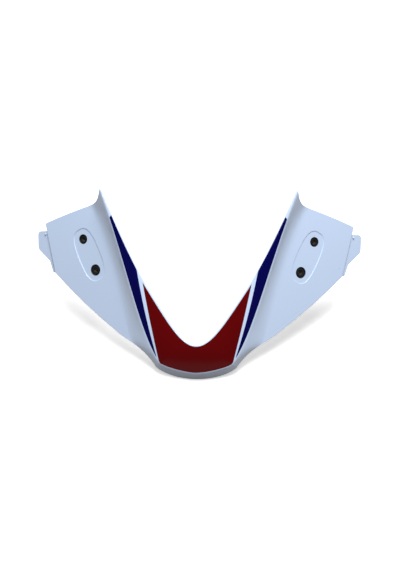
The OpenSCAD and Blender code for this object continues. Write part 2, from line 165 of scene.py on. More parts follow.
root = np.array((0, ROOT_UP))
chin = np.array((0, CHIN_UP))
lip = np.array((0, CHIN_UP - LIP_DROP))
tip = HORN + np.array((HORN_W, 0))
up_horn = unit(tip - NOSE)
below = BELOW_WAIST * np.linalg.norm(WAIST - root)
above = ABOVE_WAIST * np.linalg.norm(HORN - WAIST)
rise = np.linalg.norm(tip - NOSE)
v_spans = [
    [root, root + np.array((ROOT_ROUND, 0)), WAIST - polar(below, WAIST_LEAN), WAIST],
    [WAIST, WAIST + polar(above, WAIST_LEAN),
     HORN - polar(above, WAIST_LEAN + HORN_STEEPER), HORN],
]
ridge_spans = [
    [chin, chin + np.array((NOSE[0] * CHIN_REACH, 0)),
     NOSE - polar(NOSE[0] * NOSE_REACH, NOSE_TURN), NOSE],
    [NOSE, NOSE + polar(RIDGE_LOW * rise, RIDGE_START),
     tip - polar(RIDGE_HIGH * rise, RIDGE_END), tip],
]
cheek_handles = [CHIN_SIDE + (CHEEK - CHIN_SIDE) * share + np.array(beside)
                 for share, beside in CHEEK_HANDLES]
outer_spans = [
    [lip, lip + np.array((CHIN_SIDE[0] * LIP_REACH, 0)), CHIN_SIDE - CHIN_RISE, CHIN_SIDE],
    [CHIN_SIDE, *cheek_handles, CHEEK],
    bowed(CHEEK, HEEL, LOWER_BOW),
    bowed(HEEL, OUTER, 0),
]


def wing_depth(x, y):
    return (WING_LEVEL - slope(WING_FALL) * x + slope(WING_RAKE) * y
            - WING_BOW * (y / HORN[1]) ** 2)


def floor_depth(x, y):
    # The lower of the wing's plane and the level of the lip, with a soft change between them
    a, b = wing_depth(x, y), -LIP_DEPTH
    return (a + b - np.sqrt((a - b) ** 2 + LIP_BLEND ** 2)) / 2


def rails(station):
    # V edge, ridge and outer edge at each station, the face's width and depth between them,
    # and a number that grows from 0 to 1 on the way from heel to outer end
    edge = chain(v_spans, np.interp(station, STATIONS, V_RUN))
    ridge = chain(ridge_spans, np.interp(station, STATIONS, RIDGE_RUN))
    outer = chain(outer_spans, np.interp(station, STATIONS, OUTER_RUN))
    width = np.linalg.norm(ridge - edge, axis=1)
    ridge_z = -RIDGE_FALL * (np.abs(ridge[:, 0]) / tip[0]) ** RIDGE_POWER
    late = np.maximum(0, (station - HEEL_N) / (HALF_N - HEEL_N)) ** 3
    return edge, ridge, outer, width, ridge_z, late


def on_face(station, s):
    # The crowned face, with s from 0 at the V edge to 1 at the ridge
    edge, ridge, outer, width, ridge_z, late = rails(station)
    s = np.broadcast_to(s, (len(station), np.shape(s)[-1]))
    dome = 4 * s * (1 - s)
    flat = (edge[:, None] * (1 - s)[..., None] + ridge[:, None] * s[..., None]
            + up_horn * (HORN_DOME * dome * late[:, None])[..., None])
    edge_z = ridge_z + width * slope(BAND_SLOPE)
    crown = BAND_CROWN * width / (ROOT_UP - CHIN_UP)
    z = edge_z[:, None] * (1 - s) + ridge_z[:, None] * s + crown[:, None] * dome
    return np.dstack((flat, z))


def on_wall(station, near, far, steps):
    # The fillet and the wing outside the ridge, from near it to far short of the outer edge
    edge, ridge, outer, width, ridge_z, late = rails(station)
    reach = np.linalg.norm(outer - ridge, axis=1)
    step_w = np.minimum(FILLET_W, FILLET_SHARE * reach)[:, None]
    first = near + (step_w - near) * np.linspace(0, 1, steps[0] + 1) ** ROW_CROWD
    last = step_w + (reach[:, None] - far - step_w) * np.linspace(0, 1, steps[1] + 1)[1:]
    t = np.hstack((first, last))
    soft = ease((station - NOSE_N) / (CHEEK_N - NOSE_N))
    fall_w = reach + (np.minimum(FILLET_W, reach) - reach) * soft
    grown = ease((station - NOSE_N) / (HALF_N - NOSE_N) * FILLET_RUN)
    power = 1 + (FILLET_POWER - 1) * grown
    drop = ridge_z - floor_depth(ridge[:, 0], ridge[:, 1])
    s = t / reach[:, None]
    dip = (late * TOP_DIP)[:, None] * (1 - s).clip(0) ** DIP_POWER * (1 - np.exp(-s / DIP_START))
    x = ridge[:, None, 0] * (1 - s) + outer[:, None, 0] * s
    y = ridge[:, None, 1] * (1 - s) + outer[:, None, 1] * s - dip
    left = np.maximum(0, 1 - t / fall_w[:, None])
    return np.dstack((x, y, floor_depth(x, y) + drop[:, None] * left ** power[:, None]))


def mirrored(half):
    return np.concatenate((half[:0:-1] * np.array((-1, 1, 1)), half))


def normals(rows, across):
    return unit(np.cross(across, np.gradient(rows, axis=0)))


def rounded(a, corner, b, steps):
    # Rows that turn the corner between a and b
    u = np.linspace(0, 1, steps)[None, :, None]
    return a[:, None] * (1 - u) ** 2 + corner[:, None] * 2 * u * (1 - u) + b[:, None] * u ** 2


# The rows of the skin, in turn: the foot of the return, the return, the face, the ridge, the
# wall down to the outer rim, and back along the inner side, one wall's thickness within.
station = np.linspace(0, HALF_N, HALF_N * FINE + 1)
half_w = rails(station)[3]
edge3 = mirrored(on_face(station, np.array((0.0,))))[:, 0]
ridge3 = mirrored(on_face(station, np.array((1.0,))))[:, 0]
width3 = np.linalg.norm(ridge3 - edge3, axis=1)[:, None]
over = (ridge3 - edge3) / width3
face_n = normals((edge3 + ridge3) / 2, ridge3 - edge3)
return_dir = unit(over * slope(BAND_SLOPE) - face_n)
flat_w = np.concatenate((half_w[:0:-1], half_w))[:, None]
return_l = np.clip((flat_w - HORN_W) / 2 + WALL + RETURN_SPARE, WALL + RETURN_SPARE, RETURN_H)

soft_s = RIDGE_SOFT / half_w[:, None]
face_s = soft_s + (1 - 2 * soft_s) * np.linspace(0, 1, FACE_ROWS)[None, :]
face_rows = mirrored(on_face(station, face_s))
wall_rows = mirrored(on_wall(station, RIDGE_SOFT, EDGE_SOFT, WALL_ROWS))
rim3 = mirrored(on_wall(station, RIDGE_SOFT, 0, WALL_ROWS))[:, -1]
inner_wall = mirrored(on_wall(station, INNER_START, EDGE_SOFT, INNER_WALL_ROWS))
inner_n = normals(inner_wall, np.gradient(inner_wall, axis=1))
rim_n = inner_n[:, -1]
inner_wall = inner_wall - inner_n * WALL
ridge_turn = np.arccos(np.clip((face_n * inner_n[:, 0]).sum(axis=1, keepdims=True), -1, 1))
mitre = WALL * np.tan(ridge_turn / 2)
foot_w = np.minimum(WALL, width3 * FOOT_SHARE)
share = np.linspace(0, 1, INNER_FACE_ROWS)[None, :, None]
inner_face = mirrored(on_face(station, np.linspace(0, 1, INNER_FACE_ROWS)))
inner_face = (inner_face - face_n[:, None] * WALL
              + over[:, None] * (foot_w[:, None] + (width3 - mitre - foot_w)[:, None] * share
                                 - width3[:, None] * share))
foot = edge3 + return_dir * return_l
foot_in = foot + over * foot_w
up = -return_dir
skin = [
    rounded(foot_in + up * FOOT_SOFT, foot_in, foot_in - over * FOOT_SOFT, 3),
    rounded(foot + over * FOOT_SOFT, foot, foot + up * FOOT_SOFT, 3),
    (foot + up * (return_l / 2))[:, None],
    rounded(edge3 - up * RIDGE_SOFT, edge3, face_rows[:, 0], 6)[:, :-1],
    face_rows,
    rounded(face_rows[:, -1], ridge3, wall_rows[:, 0], 6)[:, 1:-1],
    wall_rows,
    rounded(wall_rows[:, -1], rim3, rim3 - rim_n * EDGE_SOFT, 5)[:, 1:],
    rounded(rim3 - rim_n * (WALL - EDGE_SOFT), rim3 - rim_n * WALL, inner_wall[:, -1], 4),
    inner_wall[:, -2::-1],
    inner_face[:, ::-1],
]
starts = np.cumsum([0] + [part.shape[1] for part in skin])
loop = np.concatenate(skin, axis=1)
cols = loop.shape[1]


def rounded_end(last, before, outward):
    # The end of the loft, drawn in step by step so that the top edge of a wing is round
    along = unit(last - before)
    side = unit(np.cross(np.roll(last, -1, axis=0) - np.roll(last, 1, axis=0), along)) * outward
    return [last - along * END_SOFT * (1 - math.sin(a)) - side * END_SOFT * (1 - math.cos(a))
            for a in (0, math.radians(30), math.radians(60), math.radians(90))]


first_end = rounded_end(loop[0], loop[1], -1)
last_end = rounded_end(loop[-1], loop[-2], 1)
loop = np.stack(first_end[::-1] + list(loop[1:-1]) + last_end)
rows = len(loop)
faces = []
for i in range(rows - 1):
    for j in range(cols):
        k = (j + 1) % cols
        faces.append((i * cols + j, i * cols + k, (i + 1) * cols + k, (i + 1) * cols + j))
outer_side = list(range(starts[1], starts[8]))
inner_side = list(range(starts[1] - 1, -1, -1)) + list(range(cols - 1, starts[8] - 1, -1))


def travelled(points):
    far = np.concatenate(([0], np.cumsum(np.linalg.norm(np.diff(points, axis=0), axis=1))))
    return far / far[-1]


# Each end is closed with triangles between its outer and its inner side.
for row, flip in ((0, True), (rows - 1, False)):
    a, b = travelled(loop[row][outer_side]), travelled(loop[row][inner_side])
    i = j = 0
    while i < len(a) - 1 or j < len(b) - 1:
        if j == len(b) - 1 or (i < len(a) - 1 and a[i + 1] <= b[j + 1]):
            face = (outer_side[i], outer_side[i + 1], inner_side[j])
            i += 1
        else:
            face = (outer_side[i], inner_side[j + 1], inner_side[j])
            j += 1
        face = tuple(row * cols + k for k in face)
        faces.append(face[::-1] if flip else face)


def colour(hex_code):
    # An sRGB hex value turned to linear
    value = [int(hex_code[i:i + 2], 16) / 255 for i in (0, 2, 4)]
    return [c / 12.92 if c <= 0.04045 else ((c + 0.055) / 1.055) ** 2.4 for c in value] + [1]


def spaced(mm):
    # The scale that sets a pattern's marks this far apart
    return 1000 / mm


def node(tree, kind, links=(), **settings):
    # A new node with its settings and links; an underscore stands for a blank in a socket's name
    made = tree.nodes.new(kind)
    for key, value in settings.items():
        if key in made.bl_rna.properties:
            setattr(made, key, value)
        else:
            made.inputs[key.replace("_", " ")].default_value = value
    for socket, source in dict(links).items():
        tree.links.new(source, made.inputs[socket])
    return made


def new_material(name):
    material = bpy.data.materials.new(name)
    material.use_nodes = True
    material.node_tree.nodes.clear()
    return material, material.node_tree


# Its outside is gloss white two-pack paint on the ABS, a cold white. Sprayed paint keeps a fine
# orange peel of about two millimetres, faint rubbed patches, and a few nibs of dust, drawn a
# millimetre wide so that they show.
TINT_MM, NIB_MM, PEEL_MM, RUB_MM = 71.4, 19.23, 2.38, 11.11
painted, tree = new_material("cold white two-pack paint on ABS")
where = node(tree, "ShaderNodeTexCoord").outputs["Object"]
drift = node(tree, "ShaderNodeTexNoise", {"Vector": where}, Scale=spaced(TINT_MM), Detail=2)
tint = node(tree, "ShaderNodeMix", {"Factor": drift.outputs["Fac"]}, data_type="RGBA",
            A=colour("C5D8F4"), B=colour("C8DAF6"))
grains = node(tree, "ShaderNodeTexVoronoi", {"Vector": where}, Scale=spaced(NIB_MM))
nib = node(tree, "ShaderNodeMapRange", {"Value": grains.outputs["Distance"]},
           From_Min=0.02, From_Max=0.035, To_Min=1, To_Max=0)
few = node(tree, "ShaderNodeMath", {0: nib.outputs["Result"], 1: grains.outputs["Color"]},
           operation="MULTIPLY")
speck = node(tree, "ShaderNodeMix", {"Factor": few.outputs["Value"], "A": tint.outputs["Result"]},
             data_type="RGBA", B=colour("8B93A2"))
peel = node(tree, "ShaderNodeTexNoise", {"Vector": where}, Scale=spaced(PEEL_MM), Detail=1)
rub = node(tree, "ShaderNodeTexNoise", {"Vector": where}, Scale=spaced(RUB_MM), Detail=4)
gloss = node(tree, "ShaderNodeMapRange", {"Value": rub.outputs["Fac"]},
             From_Min=0.35, From_Max=0.75, To_Min=0.24, To_Max=0.27)
lift = node(tree, "ShaderNodeMath", {0: few.outputs["Value"], 1: peel.outputs["Fac"]},
            operation="ADD")
bump = node(tree, "ShaderNodeBump", {"Height": lift.outputs["Value"]},
            Strength=0.05, Distance=0.0001)
paint = node(tree, "ShaderNodeBsdfPrincipled", {"Base Color": speck.outputs["Result"],
             "Roughness": gloss.outputs["Result"], "Normal": bump.outputs["Normal"]},
             IOR=1.5, Coat_Weight=0.6, Coat_Roughness=0.06)
node(tree, "ShaderNodeOutputMaterial", {"Surface": paint.outputs["BSDF"]})

# The same ABS is left bare inside, on the rounded outer rim and on the top edges, where its dark
# grey also stands as painted shade of the edges: dark grey and dull, with a little pale road dust
# and the grain of a spark-eroded mould, drawn coarser than the real one so that it shows.
DUST_MM, GRAIN_MM = 16.67, 0.667
bare, tree = new_material("bare moulded dark grey ABS")
where = node(tree, "ShaderNodeTexCoord").outputs["Object"]
dust = node(tree, "ShaderNodeTexNoise", {"Vector": where}, Scale=spaced(DUST_MM), Detail=6)
tone = node(tree, "ShaderNodeMix", {"Factor": dust.outputs["Fac"]}, data_type="RGBA",
            A=colour("2E3034"), B=colour("4E5053"))
grain = node(tree, "ShaderNodeTexNoise", {"Vector": where}, Scale=spaced(GRAIN_MM), Detail=1)
dull = node(tree, "ShaderNodeMapRange", {"Value": dust.outputs["Fac"]}, To_Min=0.4, To_Max=0.65)
bump = node(tree, "ShaderNodeBump", {"Height": grain.outputs["Fac"]},
            Strength=0.15, Distance=0.0001)
plastic = node(tree, "ShaderNodeBsdfPrincipled", {"Base Color": tone.outputs["Result"],
               "Roughness": dull.outputs["Result"], "Normal": bump.outputs["Normal"]}, IOR=1.53)
node(tree, "ShaderNodeOutputMaterial", {"Surface": plastic.outputs["BSDF"]})


def new_piece(name, points, faces):
    mesh = bpy.data.meshes.new(name)
    mesh.from_pydata([face_frame @ Vector(p) for p in points], [], faces)
    mesh.validate()
    piece = bpy.data.objects.new(name, mesh)
    bpy.context.collection.objects.link(piece)
    return piece


shell = new_piece("moulded_shell", loop.reshape(-1, 3), faces)
PAINTED, BARE = 0, 1
for material in (painted, bare):
    shell.data.materials.append(material)
# The outer rim past its first rounded strip and the wings' top edges take the dark bare ABS: partly
# an unpainted edge, partly a painted dark line of shade
for face, corners in zip(shell.data.polygons, faces):
    columns = [corner % cols for corner in corners]
    lines = [corner // cols for corner in corners]
    at_end = max(lines) == min(lines) or min(lines) == 0 or max(lines) == rows - 1
    inside = min(columns) < starts[1] or max(columns) > starts[7] + 1
    face.material_index = BARE if inside or at_end else PAINTED

# Behind each mirror seat stand two bosses that hold the rubber bushes, and a rib between them.
# They are moulded in one with the shell and left bare, and the rib stops short of the bosses.
SEAT = (142.3, 154.8)
SEAT_LEAN, HOLE_PITCH = 25, 44.4
HOLES = {"upper": (HOLE_PITCH / 2, 12), "lower": (-HOLE_PITCH / 2, 14)}
BOSS_WALL, BOSS_H, BOSS_SOFT = 2.5, 15.5, 0.5
RIB_T, RIB_SHORT, RIB_SOFT = 2, 2, 0.3
wing_turn = math.atan((slope(WING_RAKE) - 2 * WING_BOW * SEAT[1] / HORN[1] ** 2)
                      * math.cos(math.radians(WING_FALL)))
wing_plane = (Matrix.Rotation(math.radians(WING_FALL), 4, "Y")
              @ Matrix.Rotation(wing_turn, 4, "X"))
seat_frame = (face_frame @ Matrix.Translation((*SEAT, floor_depth(*SEAT))) @ wing_plane
              @ Matrix.Rotation(math.radians(-SEAT_LEAN), 4, "Z"))
boss_end = -WALL - BOSS_H


def pick(piece):
    bpy.ops.object.select_all(action="DESELECT")
    piece.select_set(True)
    bpy.context.view_layer.objects.active = piece


def finish_with(piece, kind, **settings):
    pick(piece)
    modifier = piece.modifiers.new(kind.lower(), kind)
    for key, value in settings.items():
        setattr(modifier, key, value)
    bpy.ops.object.modifier_apply(modifier=modifier.name)


def turned(name, profile, place, around=72, ring=False):
    # A turned form: a circle carried along its profile of (radius, height) by extruding
    bpy.ops.object.select_all(action="DESELECT")
    bpy.ops.mesh.primitive_circle_add(vertices=around, radius=profile[0][0],
                                      fill_type="NOTHING" if ring else "NGON")
    piece = bpy.context.object
    piece.name = name
    bpy.ops.object.mode_set(mode="EDIT")
    bpy.ops.mesh.select_all(action="SELECT")
    bpy.ops.transform.translate(value=(0, 0, profile[0][1]))
    for (r0, z0), (r1, z1) in zip(profile, profile[1:]):
        if ring:
            bpy.ops.mesh.extrude_edges_move()
        else:
            bpy.ops.mesh.extrude_region_move()
        bpy.ops.transform.translate(value=(0, 0, z1 - z0))
        bpy.ops.transform.resize(value=(r1 / r0, r1 / r0, 1), center_override=(0, 0, z1))
    bpy.ops.mesh.select_all(action="SELECT")
    bpy.ops.mesh.remove_doubles(threshold=0.001)
    bpy.ops.mesh.normals_make_consistent(inside=False)
    bpy.ops.object.mode_set(mode="OBJECT")
    piece.data.transform(place)
    return piece


def other_side(piece, name):
    # The same piece on the other side of the middle, with its faces turned out again
    copy = piece.copy()
    copy.data = piece.data.copy()
    copy.name = name
    bpy.context.collection.objects.link(copy)
    copy.data.transform(Matrix.Scale(-1, 4, (1, 0, 0)))
    copy.data.flip_normals()
    return copy


def joined(piece, tool, operation, side=PAINTED):
    # One solid from two, the tool's faces painted or bare; the tool is done with afterwards
    tool.data.materials.clear()
    for material in piece.data.materials:
        tool.data.materials.append(material)
    for face in tool.data.polygons:
        face.material_index = side
    finish_with(piece, "BOOLEAN", object=tool, operation=operation, solver="EXACT")
    bpy.data.objects.remove(tool)


for level, (high, hole) in HOLES.items():
    at = seat_frame @ Matrix.Translation((0, high, 0))
    radius = hole / 2 + BOSS_WALL
    profile = [(radius - BOSS_SOFT, boss_end), (radius, boss_end + BOSS_SOFT), (radius, -WALL / 2)]
    boss = turned("boss_" + level, profile, at)
    joined(shell, other_side(boss, "boss_other"), "UNION", BARE)
    joined(shell, boss, "UNION", BARE)

rib_h = BOSS_H - RIB_SHORT + WALL / 2
bpy.ops.object.select_all(action="DESELECT")
bpy.ops.mesh.primitive_cube_add(size=1)
rib = bpy.context.object
rib.name = "rib"
rib.data.transform(Matrix.Translation((0, 0, boss_end + RIB_SHORT + rib_h / 2))
                   @ Matrix.Diagonal((RIB_T, HOLE_PITCH, rib_h, 1)))
finish_with(rib, "BEVEL", width=RIB_SOFT, segments=2)
rib.data.transform(seat_frame)
joined(shell, other_side(rib, "rib_other"), "UNION", BARE)
joined(shell, rib, "UNION", BARE)

# Side tabs: flat tongues moulded on beyond the outer edges, set back by a joggle so that the
# side panels lap over them, each with a small pip near its top. They are painted with the rest.
TAB_FOOT, TAB_FOOT_W, TAB_FOOT_R, TAB_WAIST, TAB_SHOULDER, TAB_TOP = 0.2, 5, 1, 15.5, 31.5, 56
TAB_W, TAB_R, TAB_JOGGLE, TAB_LAP, TAB_SOFT, WAIST_GROWN = 21.8, 5, 2, 7, 0.5, 1.3
PIP_D, PIP_H, PIP_SOFT, PIP_DOWN = 2.6, 1.4, 0.3, 1.6
tab_frame = face_frame @ Matrix.Translation((*HEEL, wing_depth(*HEEL))) @ wing_plane
outer_corner = Vector((*OUTER, floor_depth(*OUTER))) - Vector((*HEEL, wing_depth(*HEEL)))
corner_on_tab = wing_plane.inverted() @ outer_corner
run = corner_on_tab.x / corner_on_tab.y
foot_x, top_x, full_x = run * TAB_FOOT, run * TAB_TOP, TAB_W + run * TAB_SHOULDER
outline = [
    (foot_x - TAB_LAP, TAB_FOOT),
    (foot_x + TAB_FOOT_W - TAB_FOOT_R, TAB_FOOT),
    (foot_x + TAB_FOOT_W, TAB_FOOT + TAB_FOOT_R),
    (run * TAB_WAIST + TAB_FOOT_W * WAIST_GROWN, TAB_WAIST),
    (full_x - 1, TAB_SHOULDER),
    (full_x, TAB_SHOULDER + TAB_R),
]
for degrees in range(0, 91, 10):
    angle = math.radians(degrees)
    outline.append((full_x - TAB_R + TAB_R * math.cos(angle),
                    TAB_TOP - TAB_R + TAB_R * math.sin(angle)))
outline.append((top_x - TAB_LAP, TAB_TOP))
mesh = bpy.data.meshes.new("tab")
mesh.from_pydata([(x, y, -TAB_JOGGLE - WALL) for x, y in outline], [],
                 [tuple(range(len(outline)))])
tab = bpy.data.objects.new("tab", mesh)
bpy.context.collection.objects.link(tab)
pick(tab)
bpy.ops.object.mode_set(mode="EDIT")
bpy.ops.mesh.select_all(action="SELECT")
bpy.ops.mesh.extrude_region_move()
bpy.ops.transform.translate(value=(0, 0, WALL))
bpy.ops.mesh.select_all(action="SELECT")
bpy.ops.mesh.normals_make_consistent(inside=False)
bpy.ops.object.mode_set(mode="OBJECT")
finish_with(tab, "BEVEL", limit_method="ANGLE", angle_limit=math.radians(60),
            width=TAB_SOFT, segments=2)
tab.data.transform(tab_frame)
pip_frame = tab_frame @ Matrix.Translation((top_x + PIP_D, TAB_TOP - PIP_DOWN * PIP_D, 0))
pip = turned("pip", [(PIP_D / 2, -TAB_JOGGLE - 0.5), (PIP_D / 2, PIP_H - TAB_JOGGLE - PIP_SOFT),
                     (PIP_D / 2 - PIP_SOFT, PIP_H - TAB_JOGGLE)], pip_frame, around=32)
joined(tab, pip, "UNION")
joined(shell, other_side(tab, "tab_other"), "UNION")
joined(shell, tab, "UNION")

# Two screw posts behind the nose, moulded on and bare. The near end of each follows the skin
# in front of it, half way into its wall.
POST_PITCH, POST_D, POST_BORE, POST_BORE_H, POST_SOFT = 56, 9, 4, 12, 0.4
skin_points = face_rows.reshape(-1, 3)
apart = skin_points[:, :2] - np.array((POST_PITCH / 2, POST_UP))
near = np.argmin((apart ** 2).sum(axis=1))
post_z = skin_points[near][2]
post_n = np.repeat(face_n, face_rows.shape[1], axis=0)[near]
post_place = Matrix.Translation((POST_PITCH / 2, POST_UP, 0))
post = turned("post", [(POST_D / 2 - POST_SOFT, -POST_BACK), (POST_D / 2, -POST_BACK + POST_SOFT),
                       (POST_D / 2, 0)], post_place, around=48)
for v in post.data.vertices:
    if v.co.z > -0.01:
        dx, dy = v.co.x - POST_PITCH / 2, v.co.y - POST_UP
        v.co.z = post_z - WALL / 2 - (post_n[0] * dx + post_n[1] * dy) / post_n[2]
post.data.transform(face_frame)
joined(shell, other_side(post, "post_other"), "UNION", BARE)
joined(shell, post, "UNION", BARE)

# Cut in the shell after that: the shallow oval recess with its soft edge that the mirror foot
# sits in, the two holes in it with a broken edge, and the blind bores of the posts.
SEAT_L, SEAT_W, SEAT_DEPTH, SEAT_POWER, SEAT_POINTS = 36, 16.6, 0.8, 0.72, 96
HOLE_SOFT = 0.45
recess_profile = [(0.25, 4), (0.25, 0.03), (0.1, -0.15), (0, -0.4), (-0.1, -0.65),
                  (-0.35, -SEAT_DEPTH)]
ring = []
for out, high in recess_profile:
    for k in range(SEAT_POINTS):
        angle = math.radians(k * 360 / SEAT_POINTS)
        c, s = math.cos(angle), math.sin(angle)
        ring.append(((SEAT_W + out) * math.copysign(abs(c) ** SEAT_POWER, c),
                     (SEAT_L + out) * math.copysign(abs(s) ** SEAT_POWER, s), high))
sides = []
for i in range(len(recess_profile) - 1):
    for k in range(SEAT_POINTS):
        following = (k + 1) % SEAT_POINTS
        this, deeper = i * SEAT_POINTS, (i + 1) * SEAT_POINTS
        sides.append((this + k, deeper + k, deeper + following, this + following))
sides += [tuple(range(SEAT_POINTS)),
          tuple(reversed(range(len(ring) - SEAT_POINTS, len(ring))))]
mesh = bpy.data.meshes.new("recess")
mesh.from_pydata(ring, [], sides)
recess = bpy.data.objects.new("recess", mesh)
bpy.context.collection.objects.link(recess)
recess.data.transform(seat_frame)
joined(shell, other_side(recess, "recess_other"), "DIFFERENCE")
joined(shell, recess, "DIFFERENCE")
for level, (high, hole) in HOLES.items():
    at = seat_frame @ Matrix.Translation((0, high, 0))
    cut = turned("cut", [(hole / 2, boss_end - 1), (hole / 2, -SEAT_DEPTH - 0.5),
                         (hole / 2 + HOLE_SOFT, -SEAT_DEPTH), (hole / 2 + 0.6, 3)], at)
    joined(shell, other_side(cut, "cut_other"), "DIFFERENCE", BARE)
    joined(shell, cut, "DIFFERENCE", BARE)
cut = turned("cut", [(POST_BORE / 2, -POST_BACK - 1), (POST_BORE / 2, -POST_BACK + POST_BORE_H)],
             face_frame @ post_place, around=48)
joined(shell, other_side(cut, "cut_other"), "DIFFERENCE", BARE)
joined(shell, cut, "DIFFERENCE", BARE)

# The shell as it leaves the paint shop: slivers from the cuts merged, soft forms smooth, edges
# sharp, and its place under the root body.
MERGE_M, SLIVER_M = 0.000002, 0.000001
pick(shell)
bpy.ops.object.mode_set(mode="EDIT")
bpy.ops.mesh.select_all(action="SELECT")
bpy.ops.mesh.remove_doubles(threshold=MERGE_M)
bpy.ops.mesh.dissolve_degenerate(threshold=SLIVER_M)
bpy.ops.mesh.delete_loose()
bpy.ops.object.mode_set(mode="OBJECT")
bpy.ops.object.shade_smooth_by_angle(angle=math.radians(30))
finish_with(shell, "WEIGHTED_NORMAL", keep_sharp=True)
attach(shell, "root")
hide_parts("shell")

# Colour films: thin gloss vinyl cut to shape and laid on the face under the clear coat, one red
# field round the nose and a blue stripe up each side. A white border stays bare beside the
# V edge and beside the ridge.
FILM_T, FILM_UNDER, FILM_TIP = 0.16, 0.1, 0.35
FILM_IN, BLUE_IN, FILM_OUT = 2, 0.8, 1.5
RED_TOP, RED_FOOT, RED_BOW = np.array((68.8, 121)), NOSE + np.array((-0.2, 0.2)), 0.6
BLUE_KNEE, BLUE_FOOT, BLUE_BOW = np.array((77, 139.5)), NOSE + np.array((2.4, 4.4)), 1.9
BLUE_TOP = 200.8
FILM_ROWS, RED_ACROSS, BLUE_ACROSS = 150, 14, 8


def crossing(a, b, top, foot, bow):
    # How far along each line a to b a slightly bowed line from foot to top crosses it
    u, v, away = b - a, foot - top, top - a
    s = (away[:, 0] * v[1] - away[:, 1] * v[0]) / (u[:, 0] * v[1] - u[:, 1] * v[0])
    t = np.clip((a[:, 1] + u[:, 1] * s - foot[1]) / (top[1] - foot[1]), 0, 1)
    return s + bow * 4 * t * (1 - t) / np.linalg.norm(u, axis=1)


def film(name, stations, left, right, across):
    # left and right: where the film begins and ends between V edge and ridge, row by row
    s = left[:, None] + (right - left)[:, None] * np.linspace(0, 1, across + 1)[None, :]
    rows = on_face(stations, s)
    lay = unit(np.cross(np.gradient(rows, axis=1), np.gradient(rows, axis=0)))
    if stations[0] == 0:
        lay[0] = unit(lay[0] * np.array((0, 1, 1)))
        rows, lay = mirrored(rows), mirrored(lay)
    top, under = rows + lay * FILM_T, rows - lay * FILM_UNDER
    n, m = rows.shape[:2]
    size = n * m
    faces = []
    for i in range(n - 1):
        for j in range(m - 1):
            a, b, c, d = i * m + j, i * m + j + 1, (i + 1) * m + j + 1, (i + 1) * m + j
            faces += [(a, b, c, d), (size + d, size + c, size + b, size + a)]
    rim = (list(range(m)) + [i * m + m - 1 for i in range(1, n)]
           + [(n - 1) * m + j for j in range(m - 2, -1, -1)] + [i * m for i in range(n - 2, 0, -1)])
    for a, b in zip(rim, rim[1:] + rim[:1]):
        faces.append((a, size + a, size + b, b))
    return new_piece(name, np.concatenate((top.reshape(-1, 3), under.reshape(-1, 3))), faces)


# Cast vinyl film under clear coat: deep colour, a smooth gloss top, and the faint ripple of
# the glue beneath it.
HUE_MM, RIPPLE_MM, RIPPLE_DULL = 45.45, 3.33, 0.08


def vinyl(name, first, second, rough):
    material, tree = new_material(name)
    where = node(tree, "ShaderNodeTexCoord").outputs["Object"]
    drift = node(tree, "ShaderNodeTexNoise", {"Vector": where}, Scale=spaced(HUE_MM), Detail=3)
    tone = node(tree, "ShaderNodeMix", {"Factor": drift.outputs["Fac"]}, data_type="RGBA",
                A=colour(first), B=colour(second))
    ripple = node(tree, "ShaderNodeTexNoise", {"Vector": where}, Scale=spaced(RIPPLE_MM), Detail=1)
    haze = node(tree, "ShaderNodeMapRange", {"Value": ripple.outputs["Fac"]},
                To_Min=rough, To_Max=rough + RIPPLE_DULL)
    bump = node(tree, "ShaderNodeBump", {"Height": ripple.outputs["Fac"]},
                Strength=0.08, Distance=0.0001)
    gloss = node(tree, "ShaderNodeBsdfPrincipled", {"Base Color": tone.outputs["Result"],
                 "Roughness": haze.outputs["Result"], "Normal": bump.outputs["Normal"]},
                 IOR=1.46, Specular_IOR_Level=0.2)
    node(tree, "ShaderNodeOutputMaterial", {"Surface": gloss.outputs["BSDF"]})
    return material


def give(pieces, material):
    for piece in pieces:
        piece.data.materials.clear()
        piece.data.materials.append(material)


def lay_film(piece, node_name):
    pick(piece)
    bpy.ops.object.shade_smooth_by_angle(angle=math.radians(30))
    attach(piece, "root")
    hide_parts(node_name)


dense = np.linspace(0, HALF_N, 100 * HALF_N + 1)
edge, ridge, outer, width, ridge_z, late = rails(dense)
border = FILM_IN + (BLUE_IN - FILM_IN) * ease((edge[:, 1] - RED_TOP[1])
                                              / (BLUE_KNEE[1] - RED_TOP[1]))
low, high = border / width, 1 - FILM_OUT / width
red_s = np.minimum(crossing(edge, ridge, RED_TOP, RED_FOOT, RED_BOW), high)
red_end = dense[np.argmax((red_s - low) * width < FILM_TIP)]
blue_s = np.maximum(crossing(edge, ridge, BLUE_KNEE, BLUE_FOOT, BLUE_BOW), low)
high_y = (edge * (1 - high[:, None]) + ridge * high[:, None])[:, 1]
wide = (high - blue_s) * width > FILM_TIP
blue_start = dense[np.argmax(wide & (high_y > BLUE_FOOT[1]))]
blue_end = dense[np.argmax((dense > WAIST_N) & (~wide | (high_y > BLUE_TOP)))]

stations = np.linspace(0, red_end, FILM_ROWS)
red_left, red_right = np.interp(stations, dense, low), np.interp(stations, dense, red_s)
red_film = film("red_nose_film", stations, red_left, red_right, RED_ACROSS)
lay_film(red_film, "nose_film_red")
give([red_film], vinyl("deep red cast vinyl film", "5E0003", "560001", 0.1))

stations = np.linspace(blue_start, blue_end, FILM_ROWS)
blue_left, blue_right = np.interp(stations, dense, blue_s), np.interp(stations, dense, high)
right_stripe = film("blue_stripe_right", stations, blue_left, blue_right, BLUE_ACROSS)
left_stripe = other_side(right_stripe, "blue_stripe_left")
lay_film(right_stripe, "film_blue_right")
lay_film(left_stripe, "film_blue_left")
give([right_stripe, left_stripe], vinyl("dark blue cast vinyl film", "02024C", "010044", 0.1))
